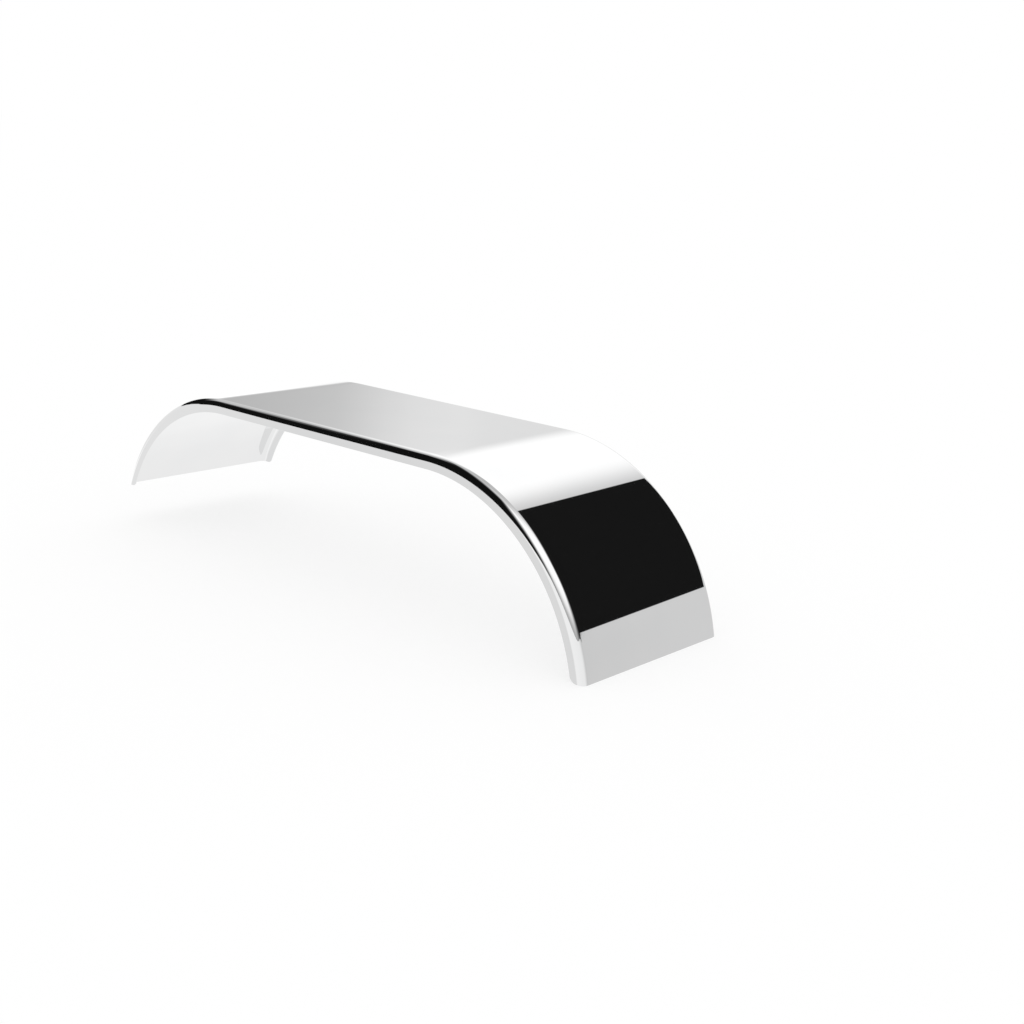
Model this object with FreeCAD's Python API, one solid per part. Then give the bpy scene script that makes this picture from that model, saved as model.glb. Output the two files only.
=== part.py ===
import FreeCAD, Part
import math
import os

os.makedirs("parts", exist_ok=True)

# Driving sizes of the folded sheet, in millimetres.
# A drop is how far one end of the sheet reaches below the deck's top.
width = 622.0
deck_length = 1000.0
sheet = 1.6
side_depth = 46.0
bend_radius = 22.0
sweep_radius = 645.0
long_drop = 533.0
short_drop = 403.0
corner_radius = 25.0

# Each end is rolled this many degrees too far, then cut off level at its drop
spare_angle = 6.0

# The origin is the middle of the deck's flat underside, where the support tubes bear.
# +X runs along the deck to the end that reaches lower, +Y across the width, +Z up.
half_width = width / 2
top = sheet
bend_inner = bend_radius - sheet
flange_foot = top - side_depth
bend_start_y = half_width - bend_radius
bend_centre_z = top - bend_radius


def point(y, z):
    return FreeCAD.Vector(0, y, z)


def bend(side, radius):
    """Quarter circle from the main face round to the flange, on the side given by +1 or -1."""
    centre = point(side * bend_start_y, bend_centre_z)
    diagonal = radius * math.sqrt(0.5)
    start = centre + point(0, radius)
    middle = centre + point(side * diagonal, diagonal)
    end = centre + point(side * radius, 0)
    return Part.Arc(start, middle, end).toShape()


def line(y1, z1, y2, z2):
    return Part.makeLine(point(y1, z1), point(y2, z2))


def sheet_section():
    """The folded sheet's section across the width: main face, a rolled bend and a flange on each side."""
    inner_y = half_width - sheet
    edges = [
        line(-bend_start_y, top, bend_start_y, top),
        bend(1, bend_radius),
        line(half_width, bend_centre_z, half_width, flange_foot),
        line(half_width, flange_foot, inner_y, flange_foot),
        line(inner_y, flange_foot, inner_y, bend_centre_z),
        bend(1, bend_inner),
        line(bend_start_y, 0, -bend_start_y, 0),
        bend(-1, bend_inner),
        line(-inner_y, bend_centre_z, -inner_y, flange_foot),
        line(-inner_y, flange_foot, -half_width, flange_foot),
        line(-half_width, flange_foot, -half_width, bend_centre_z),
        bend(-1, bend_radius),
    ]
    return Part.Face(Part.Wire(Part.__sortEdges__(edges)))


def end_sweep(direction, drop):
    """The section rolled down about the sweep's axis, then cut off level, at the +X or -X end."""
    deck_end = direction * deck_length / 2
    axis_point = FreeCAD.Vector(deck_end, 0, top - sweep_radius)
    angle = math.degrees(math.acos(1 - drop / sweep_radius)) + spare_angle
    section = sheet_section()
    section.translate(FreeCAD.Vector(deck_end, 0, 0))
    rolled = section.revolve(axis_point, FreeCAD.Vector(0, direction, 0), angle)
    waste = Part.makeBox(4 * sweep_radius, 2 * width, 2 * sweep_radius)
    waste.translate(FreeCAD.Vector(deck_end - 2 * sweep_radius, -width, top - drop - 2 * sweep_radius))
    return rolled.cut(waste)


def flange_corner_edges(shape, direction, drop):
    """The two short edges where the flanges' free edges meet one end of the sheet."""
    foot_radius = sweep_radius - side_depth
    height = sweep_radius - drop
    corner_x = direction * (deck_length / 2 + math.sqrt(foot_radius ** 2 - height ** 2))
    corner_z = top - drop
    found = []
    for edge in shape.Edges:
        ends = [vertex.Point for vertex in edge.Vertexes]
        if all(math.hypot(p.x - corner_x, p.z - corner_z) < sheet / 10 for p in ends):
            found.append(edge)
    return found


# The deck, with both end sweeps running straight out of it as the same sheet
deck = sheet_section()
deck.translate(FreeCAD.Vector(-deck_length / 2, 0, 0))
fender = deck.extrude(FreeCAD.Vector(deck_length, 0, 0))
fender = fender.fuse(end_sweep(1, long_drop))
fender = fender.fuse(end_sweep(-1, short_drop))
fender = fender.removeSplitter()

# The flanges' lower corners are cut round
corners = flange_corner_edges(fender, 1, long_drop) + flange_corner_edges(fender, -1, short_drop)
fender = fender.makeFillet(corner_radius, corners)

fender.exportStep("parts/fender.step")
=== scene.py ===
import math

import bpy
from mathutils import Matrix, Vector


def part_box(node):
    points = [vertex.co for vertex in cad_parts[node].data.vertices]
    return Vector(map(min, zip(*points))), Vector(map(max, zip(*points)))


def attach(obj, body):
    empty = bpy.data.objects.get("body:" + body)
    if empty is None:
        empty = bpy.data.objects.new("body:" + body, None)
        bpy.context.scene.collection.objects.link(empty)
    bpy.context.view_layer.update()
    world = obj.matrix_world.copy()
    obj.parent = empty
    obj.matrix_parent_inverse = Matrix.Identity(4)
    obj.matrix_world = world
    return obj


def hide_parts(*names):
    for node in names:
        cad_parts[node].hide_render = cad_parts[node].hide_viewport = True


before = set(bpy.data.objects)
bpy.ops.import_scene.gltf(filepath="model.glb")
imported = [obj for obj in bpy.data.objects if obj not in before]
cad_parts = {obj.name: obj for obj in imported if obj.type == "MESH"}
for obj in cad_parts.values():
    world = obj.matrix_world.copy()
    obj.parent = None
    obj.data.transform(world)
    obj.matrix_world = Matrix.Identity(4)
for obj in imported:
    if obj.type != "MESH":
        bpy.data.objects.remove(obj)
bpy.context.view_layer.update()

# Camera: a normal lens off the corner of the fender's lower end, 0.9 m above the deck and tipped
# 15 degrees down, so that the deck, the long sweep and the inside of the short one all show.
camera_place = Vector((3.40814, -3.08456, 0.91186))
camera_azimuth = math.radians(42.706)
camera_elevation = math.radians(15.005)
camera_roll = math.radians(2.242)
lens_length = 49.79
forward = Vector((
    -math.sin(camera_azimuth) * math.cos(camera_elevation),
    math.cos(camera_azimuth) * math.cos(camera_elevation),
    -math.sin(camera_elevation),
))
level_right = Vector((math.cos(camera_azimuth), math.sin(camera_azimuth), 0))
level_up = level_right.cross(forward)
right = math.cos(camera_roll) * level_right + math.sin(camera_roll) * level_up
up = math.cos(camera_roll) * level_up - math.sin(camera_roll) * level_right
camera_turn = Matrix((right, up, -forward)).transposed()
lens = bpy.data.cameras.new("camera")
lens.lens = lens_length
lens.sensor_width = 36
camera = bpy.data.objects.new("camera", lens)
bpy.context.collection.objects.link(camera)
camera.matrix_world = Matrix.Translation(camera_place) @ camera_turn.to_4x4()
bpy.context.scene.camera = camera
bpy.context.scene.view_settings.view_transform = "Standard"

# Folded sheet: one stainless sheet, bent down along both sides and rolled down at each end, cut
# off level there, with the flanges' lower corners cut round. Brackets hold it by its flat deck.
# It is laid out again here in fine strips, because a mirror shows every facet.
width = 0.622
deck_length = 1.0
sheet = 0.0016
side_depth = 0.046
bend_radius = 0.022
sweep_radius = 0.645
long_drop = 0.533
short_drop = 0.403
corner_radius = 0.025
deck_top = sheet

# How finely the strips are laid out. The shares are of half the flat face and half the deck.
bend_steps = 20
corner_steps = 14
long_sweep_steps = 190
short_sweep_steps = 160
closest_lines = 0.0002
clear_of_bend = 0.001
beside_bend = 0.0005
face_shares = (1, 0.9, 0.45)
deck_shares = (-0.998, -0.6, -0.2, 0.2, 0.6, 0.998)


def corner_centre(drop):
    """Centre of the round corner at a flange's foot, measured from the sweep's axis."""
    reach = sweep_radius - side_depth + corner_radius
    height = sweep_radius - drop + corner_radius
    return math.sqrt(reach ** 2 - height ** 2), height


def flange_depths(drop):
    """Depths of the strip lines on a flange, closer together where its lower corner is cut round."""
    centre_x, centre_z = corner_centre(drop)
    start = math.atan2(-centre_z, -centre_x)
    depths = []
    for i in range(corner_steps + 1):
        a = start + (-math.pi / 2 - start) * i / corner_steps
        x = centre_x + corner_radius * math.cos(a)
        z = centre_z + corner_radius * math.sin(a)
        depths.append(sweep_radius - math.hypot(x, z))
    return depths


def section_pairs():
    """Outer and inner (y, depth) pairs across the sheet, from one flange's foot to the other's."""
    half = width / 2
    inner_bend = bend_radius - sheet
    kept = [side_depth]
    for depth in sorted(flange_depths(long_drop) + flange_depths(short_drop), reverse=True):
        if kept[-1] - depth > closest_lines:
            kept.append(depth)
    kept = [depth for depth in kept if depth > bend_radius + clear_of_bend]
    kept.append(bend_radius + beside_bend)
    side = [((half, depth), (half - sheet, depth)) for depth in kept]
    bend_start = half - bend_radius
    for i in range(bend_steps + 1):
        a = math.pi / 2 * (1 - i / bend_steps)
        outer = (bend_start + bend_radius * math.sin(a), bend_radius * (1 - math.cos(a)))
        inner = (bend_start + inner_bend * math.sin(a), bend_radius - inner_bend * math.cos(a))
        side.append((outer, inner))
    flat_edge = bend_start - beside_bend
    side += [((flat_edge * share, 0), (flat_edge * share, sheet)) for share in face_shares]
    middle = [((0, 0), (0, sheet))]
    near = [((-outer_y, outer_depth), (-inner_y, inner_depth))
            for (outer_y, outer_depth), (inner_y, inner_depth) in side]
    return near + middle + side[::-1]


def end_angle(depth, drop):
    """How far round the sweep a strip line runs, up to the level cut or the round corner."""
    radius = sweep_radius - depth
    level = sweep_radius - drop
    centre_x, centre_z = corner_centre(drop)
    if radius >= math.hypot(level, centre_x):
        return math.acos(level / radius)
    reach = math.hypot(centre_x, centre_z)
    spread = (radius ** 2 + reach ** 2 - corner_radius ** 2) / (2 * radius * reach)
    return math.acos(centre_z / reach) + math.acos(min(1.0, spread))


def sweep_points(y, depth, direction, drop, steps):
    """One strip line's points round a sweep, from the deck out to the tip."""
    radius = sweep_radius - depth
    points = []
    for i in range(steps + 1):
        a = end_angle(depth, drop) * i / steps
        x = direction * (deck_length / 2 + radius * math.sin(a))
        points.append(Vector((x, y, deck_top - sweep_radius + radius * math.cos(a))))
    return points


def line_points(y, depth):
    """One strip line of the sheet, from the short end over the deck to the long end."""
    short_end = sweep_points(y, depth, -1, short_drop, short_sweep_steps)
    deck = [Vector((share * deck_length / 2, y, deck_top - depth)) for share in deck_shares]
    long_end = sweep_points(y, depth, 1, long_drop, long_sweep_steps)
    return short_end[::-1] + deck + long_end


# The strip lines go round the section: over the outside, and back on the inside
outer_lines, inner_lines = [], []
for outer, inner in section_pairs():
    outer_lines.append(line_points(*outer))
    inner_lines.append(line_points(*inner))
ring = outer_lines + inner_lines[::-1]
stations = len(ring[0])
vertices = [point for line in ring for point in line]
faces = []
for i in range(len(ring)):
    here, beside = i * stations, (i + 1) % len(ring) * stations
    for s in range(stations - 1):
        faces.append((here + s, here + s + 1, beside + s + 1, beside + s))

# The sheared ends join the outside to the inside
last = stations - 1
for i in range(len(outer_lines) - 1):
    a, b = i * stations, (i + 1) * stations
    c, d = (len(ring) - 2 - i) * stations, (len(ring) - 1 - i) * stations
    faces.append((a, b, c, d))
    faces.append((a + last, d + last, c + last, b + last))
sheet_mesh = bpy.data.meshes.new("folded_sheet")
sheet_mesh.from_pydata(vertices, [], faces)
sheet_mesh.validate()
sheet_mesh.shade_smooth()
folded_sheet = bpy.data.objects.new("folded_sheet", sheet_mesh)
bpy.context.collection.objects.link(folded_sheet)

# The sheared edges are eased by a few tenths of a millimetre
eased = folded_sheet.modifiers.new("eased_edges", "BEVEL")
eased.width = 0.0003
eased.segments = 2
eased.limit_method = "ANGLE"
eased.angle_limit = math.radians(50)
flats = folded_sheet.modifiers.new("flat_faces", "WEIGHTED_NORMAL")
flats.keep_sharp = False

# Mirror polish: almost even, with the faintest clouding that a buffing wheel leaves
polish = bpy.data.materials.new("mirror_polished_steel")
polish.use_nodes = True
nodes, links = polish.node_tree.nodes, polish.node_tree.links
shader = nodes["Principled BSDF"]
shader.inputs["Metallic"].default_value = 1.0
place = nodes.new("ShaderNodeTexCoord")
clouding = nodes.new("ShaderNodeTexNoise")
clouding.inputs["Scale"].default_value = 5.0
clouding.inputs["Detail"].default_value = 3.0
links.new(place.outputs["Object"], clouding.inputs["Vector"])
tone = nodes.new("ShaderNodeValToRGB")
tone.color_ramp.elements[0].position = 0.3
tone.color_ramp.elements[0].color = (0.852, 0.855, 0.858, 1)
tone.color_ramp.elements[1].position = 0.7
tone.color_ramp.elements[1].color = (0.872, 0.872, 0.872, 1)
links.new(clouding.outputs["Fac"], tone.inputs["Fac"])
links.new(tone.outputs["Color"], shader.inputs["Base Color"])

# Buffing streaks run along the sheet, and only the gloss shows them
along = nodes.new("ShaderNodeMapping")
along.inputs["Scale"].default_value = (4.0, 260.0, 40.0)
links.new(place.outputs["Object"], along.inputs["Vector"])
buffing = nodes.new("ShaderNodeTexNoise")
buffing.inputs["Scale"].default_value = 1.0
buffing.inputs["Detail"].default_value = 2.0
links.new(along.outputs["Vector"], buffing.inputs["Vector"])
gloss = nodes.new("ShaderNodeMapRange")
gloss.inputs["From Min"].default_value = 0.3
gloss.inputs["From Max"].default_value = 0.7
gloss.inputs["To Min"].default_value = 0.01
gloss.inputs["To Max"].default_value = 0.03
links.new(buffing.outputs["Fac"], gloss.inputs["Value"])
links.new(gloss.outputs["Result"], shader.inputs["Roughness"])
sheet_mesh.materials.append(polish)

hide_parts("fender")
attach(folded_sheet, "root")

# Floor: a plain sheet of white paper just under the fender's lowest edge, as wide as the room.
# From above it is nearly as bright as the background, with a soft shadow. From below it is clear.
floor_reach = 400.0
floor_gap = 0.0005
shadow_share = 0.3
floor_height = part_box("fender")[0][2] - floor_gap
floor_corners = [(x * floor_reach, y * floor_reach, floor_height)
                 for x, y in ((-1, -1), (1, -1), (1, 1), (-1, 1))]
floor_mesh = bpy.data.meshes.new("paper_floor")
floor_mesh.from_pydata(floor_corners, [], [(0, 1, 2, 3)])
paper_floor = bpy.data.objects.new("paper_floor", floor_mesh)
bpy.context.collection.objects.link(paper_floor)
paper_floor.visible_glossy = False
paper = bpy.data.materials.new("white_paper")
paper.use_nodes = True
nodes, links = paper.node_tree.nodes, paper.node_tree.links
matt = nodes["Principled BSDF"]
matt.inputs["Base Color"].default_value = (1, 1, 1, 1)
matt.inputs["Roughness"].default_value = 1.0
matt.inputs["Specular IOR Level"].default_value = 0.0
white = nodes.new("ShaderNodeEmission")
white.inputs["Strength"].default_value = 1.0
rays = nodes.new("ShaderNodeLightPath")
white_share = nodes.new("ShaderNodeMath")
white_share.operation = "MULTIPLY"
white_share.inputs[1].default_value = 1 - shadow_share
links.new(rays.outputs["Is Camera Ray"], white_share.inputs[0])
from_above = nodes.new("ShaderNodeMixShader")
links.new(white_share.outputs["Value"], from_above.inputs["Fac"])
links.new(matt.outputs["BSDF"], from_above.inputs[1])
links.new(white.outputs["Emission"], from_above.inputs[2])
clear = nodes.new("ShaderNodeBsdfTransparent")
face = nodes.new("ShaderNodeNewGeometry")
either_side = nodes.new("ShaderNodeMixShader")
links.new(face.outputs["Backfacing"], either_side.inputs["Fac"])
links.new(from_above.outputs["Shader"], either_side.inputs[1])
links.new(clear.outputs["BSDF"], either_side.inputs[2])
links.new(either_side.outputs["Shader"], nodes["Material Output"].inputs["Surface"])
floor_mesh.materials.append(paper)

# Studio: an even white room. The polished sheet mirrors what is set up in it: the pale floor, a
# black card on each side, a white wall to the right and a bright window behind the fender.
# Azimuth runs from +Y towards +X, and elevation up from level, both in degrees.
room = bpy.data.worlds.new("studio")
bpy.context.scene.world = room
room.use_nodes = True
nodes, links = room.node_tree.nodes, room.node_tree.links
nodes.clear()
sky = nodes.new("ShaderNodeTexCoord")
axes = nodes.new("ShaderNodeSeparateXYZ")
links.new(sky.outputs["Generated"], axes.inputs["Vector"])


def feed(socket, term):
    """Gives a socket a value or another node's output."""
    if isinstance(term, (int, float)):
        socket.default_value = term
    else:
        links.new(term, socket)


def number(operation, *terms):
    """One Math node."""
    node = nodes.new("ShaderNodeMath")
    node.operation = operation
    for socket, term in zip(node.inputs, terms):
        feed(socket, term)
    return node.outputs["Value"]


def plus(first, second):
    return number("ADD", first, second)


def minus(first, second):
    return number("SUBTRACT", first, second)


def times(first, *others):
    """Product of all the terms. Masks are joined this way."""
    for other in others:
        first = number("MULTIPLY", first, other)
    return first


def rise(value, start, end):
    """Goes smoothly from 0 at start to 1 at end."""
    node = nodes.new("ShaderNodeMapRange")
    node.interpolation_type = "SMOOTHSTEP"
    feed(node.inputs["Value"], value)
    feed(node.inputs["From Min"], start)
    feed(node.inputs["From Max"], end)
    return node.outputs["Result"]


def over(seen, tone, mask):
    """Puts a tone over what is seen so far, where the mask is 1."""
    return plus(times(seen, minus(1.0, mask)), times(mask, tone))


def curve(value, points):
    """Straight lines through (value, result) points."""
    low, high = min(y for x, y in points), max(y for x, y in points)
    first, last = points[0][0], points[-1][0]
    ramp = nodes.new("ShaderNodeValToRGB")
    stops = ramp.color_ramp.elements
    while len(stops) < len(points):
        stops.new(0.5)
    for stop, (x, y) in zip(stops, points):
        stop.position = (x - first) / (last - first)
    for stop, (x, y) in zip(stops, points):
        level = (y - low) / (high - low)
        stop.color = (level, level, level, 1)
    links.new(times(minus(value, first), 1 / (last - first)), ramp.inputs["Fac"])
    return plus(times(ramp.outputs["Color"], high - low), low)


def bearing(middle):
    """Azimuth counted through from middle - 180 to middle + 180."""
    turn = math.radians(middle)
    x, y = axes.outputs["X"], axes.outputs["Y"]
    ahead = plus(times(x, math.sin(turn)), times(y, math.cos(turn)))
    across = minus(times(x, math.cos(turn)), times(y, math.sin(turn)))
    return plus(times(number("ARCTAN2", across, ahead), math.degrees(1)), middle)


elevation = times(number("ARCSINE", axes.outputs["Z"]), math.degrees(1))
azimuth = bearing(0)
from_right = bearing(100)
from_left = bearing(-120)
bright_tone = 1.15
black_tone = 0.006

# Ceiling, with the back of the room over the deck
seen = curve(azimuth, [
    (-180, 0.80), (-115, 0.76), (-95, 0.62), (-60, 0.56), (-40, 0.52), (-20, 0.57), (10, 0.62),
    (60, 0.64), (180, 0.80)])
back_tone = curve(azimuth, [
    (-120, 0.62), (-65, 0.62), (-61, 0.68), (-58, 0.65), (-56, 0.55), (-54.5, 0.515), (-53, 0.54),
    (-52, 0.55), (-51, 0.565), (-50, 0.585), (-49, 0.64), (-48, 0.70), (-47, 0.775), (-46, 0.81),
    (-45, 0.83), (-44, 0.81), (-42, 0.80), (-36, 0.80)])
back = times(rise(azimuth, -178, -150), rise(azimuth, -14, -40), rise(elevation, 50, 38))
seen = over(seen, back_tone, back)

# Bright window behind the fender, with soft edges. Its foot drops towards the right, and a glow
# lies low on the floor in front of it.
window_foot = curve(azimuth, [
    (-90, 53), (-75, 43), (-65, 36), (-60, 30), (-56, 24.5), (-52, 20.5), (-48, 18.5), (-44, 19.5),
    (-40, 17), (-36, 16)])
window_blur = curve(azimuth, [(-90, 5.5), (-65, 7), (-60, 11), (-48, 12), (-44, 6.5), (-36, 6)])
window_head = curve(azimuth, [
    (-90, 62), (-44, 62), (-40, 58), (-36, 54), (-32, 50), (-28, 44), (-25, 44), (-19, 47),
    (-12, 49), (-6, 50), (0, 50)])
window_full = curve(azimuth, [
    (-90, 38), (-44, 38), (-40, 34.5), (-36, 31.5), (-30, 36.2), (-25, 39.6), (-19, 42.3),
    (-12, 44.1), (-6, 44.8), (0, 45)])
above_foot = number("DIVIDE", minus(elevation, window_foot), window_blur)
window = times(
    rise(azimuth, -96, -80), rise(azimuth, 2, -20), rise(above_foot, -1, 1),
    rise(elevation, window_head, window_full))
seen = over(seen, bright_tone, window)
glow_tone = curve(azimuth, [(-57, 1.16), (-54, 1.13), (-50, 0.97), (-40, 0.97)])
glow = times(rise(azimuth, -62, -57), rise(azimuth, -30, -40), rise(elevation, 6.5, 0))
seen = over(seen, glow_tone, glow)

# Black card in front of the fender's left end. It has a soft top, its right edge stands out
# further at mid height, and a fringe runs on from it to the right.
card_bulge = 10.0
bulge = times(rise(elevation, 36.5, 39), rise(elevation, 45, 43))
left_card_edge = minus(from_left, times(bulge, card_bulge))
left_card = times(
    rise(from_left, -250, -225), rise(left_card_edge, -88, -118), rise(elevation, 87, 61))
seen = over(seen, black_tone, left_card)
tongue_tone = 0.02
tongue = times(
    rise(from_left, -130, -110), rise(from_left, -72, -98), rise(elevation, 48, 60),
    rise(elevation, 74, 60))
seen = over(seen, tongue_tone, tongue)
fringe_head = curve(azimuth, [
    (-100, 35), (-90, 29.5), (-85, 28), (-80, 28), (-75, 26.5), (-70, 22.5), (-65, 17), (-60, 6),
    (-57, -3.5)])
fringe = times(
    rise(azimuth, -130, -112), rise(azimuth, -56, -62),
    rise(minus(elevation, fringe_head), 5.5, -5.5))
seen = over(seen, black_tone, fringe)

# White wall to the right, lit from above, and an even patch of ceiling straight overhead
wall_tone = curve(elevation, [
    (11, 0.42), (17.5, 0.48), (21, 0.60), (24.5, 0.75), (28, 0.90), (31.5, 1.0), (35, 1.08),
    (40, 1.14), (66, 1.15), (70, 1.11), (76, 1.0), (82, 0.85), (90, 0.66)])
wall = times(rise(from_right, 0, 70), rise(from_right, 189, 160))
seen = over(seen, wall_tone, wall)
overhead_tone = 0.68
seen = over(seen, overhead_tone, rise(elevation, 75, 87))

# Black card to the right of the camera. Its left edge is sharp and leans a little.
right_card_tone = 0.009
card_lean = 0.19
card_left = plus(times(minus(elevation, 44.2), card_lean), -3.0)
card_right = curve(elevation, [(17.5, 104), (24.5, 100), (31.5, 94), (38, 80), (45, 76)])
card_head = curve(azimuth, [(-10, 48), (0, 48.5), (10, 50), (20, 55), (30, 59), (40, 60)])
card_full = curve(azimuth, [(-10, 45), (0, 45), (10, 44.8), (20, 43), (30, 42), (40, 41)])
right_card = times(
    rise(minus(from_right, card_left), -0.2, 0.2), rise(from_right, card_right, 44.3),
    rise(elevation, card_head, card_full))
seen = over(seen, right_card_tone, right_card)

# Pale floor, up to the line where the cards and the wall stand on it. Under the fender it is
# brighter, the right card leaves a narrow notch in the line, and the left part is in full light.
floor_line = curve(azimuth, [
    (-180, 10), (-170, 6.5), (-160, 1), (-150, -4), (-140, -9.5), (-133, -12.5), (-128, -10),
    (-125, -6), (-120, 4), (-115, 8.3), (-110, 11), (-100, 13.2), (-90, 12.2), (-80, 10),
    (-75, 8.7), (-70, 6), (-65, 2.3), (-60, -2), (-56, -9), (-40, -10), (-34, 11.3), (44, 11.3),
    (52, 12.3), (60, 13.2), (70, 14.8), (90, 15.3), (130, 13.5), (150, 12), (165, 10.5),
    (180, 10)])
notch_lean = 0.21
notch_depth = 3.2
notch_side = plus(azimuth, times(minus(elevation, 10.6), notch_lean))
notch = times(rise(notch_side, 42.42, 42.56), rise(azimuth, 56, 44))
floor_line = minus(floor_line, times(notch, notch_depth))
floor_tone = curve(azimuth, [
    (-180, 0.98), (-149, 0.97), (-143, 0.79), (-129, 0.79), (-124, 0.86), (-57, 0.88),
    (-40, 0.80), (0, 0.70), (40, 0.70), (48, 0.635), (55, 0.645), (60, 0.68), (65, 0.72),
    (75, 0.80), (85, 0.89), (90, 0.92), (100, 0.94), (180, 0.98)])
under_tone = curve(azimuth, [
    (-40, 1.02), (-22, 1.01), (-10, 0.985), (3, 0.975), (15, 0.957), (26, 0.948), (40, 0.945)])
floor_tone = over(floor_tone, under_tone, rise(elevation, -24, -38))
seen = over(seen, floor_tone, rise(minus(elevation, floor_line), 0.12, -0.12))
near_floor = times(rise(azimuth, -122, -112), rise(azimuth, -54, -60), rise(elevation, -5, -11))
seen = over(seen, bright_tone, near_floor)

# The camera and matt surfaces get plain white, and the mirror gets the set-up above
rays = nodes.new("ShaderNodeLightPath")
mirrored = nodes.new("ShaderNodeBackground")
links.new(seen, mirrored.inputs["Color"])
plain = nodes.new("ShaderNodeBackground")
plain.inputs["Color"].default_value = (1, 1, 1, 1)
plain.inputs["Strength"].default_value = 1.0
in_mirror = number("MAXIMUM", rays.outputs["Is Glossy Ray"], rays.outputs["Is Transmission Ray"])
view_mix = nodes.new("ShaderNodeMixShader")
links.new(in_mirror, view_mix.inputs["Fac"])
links.new(plain.outputs["Background"], view_mix.inputs[1])
links.new(mirrored.outputs["Background"], view_mix.inputs[2])
world_output = nodes.new("ShaderNodeOutputWorld")
links.new(view_mix.outputs["Shader"], world_output.inputs["Surface"])
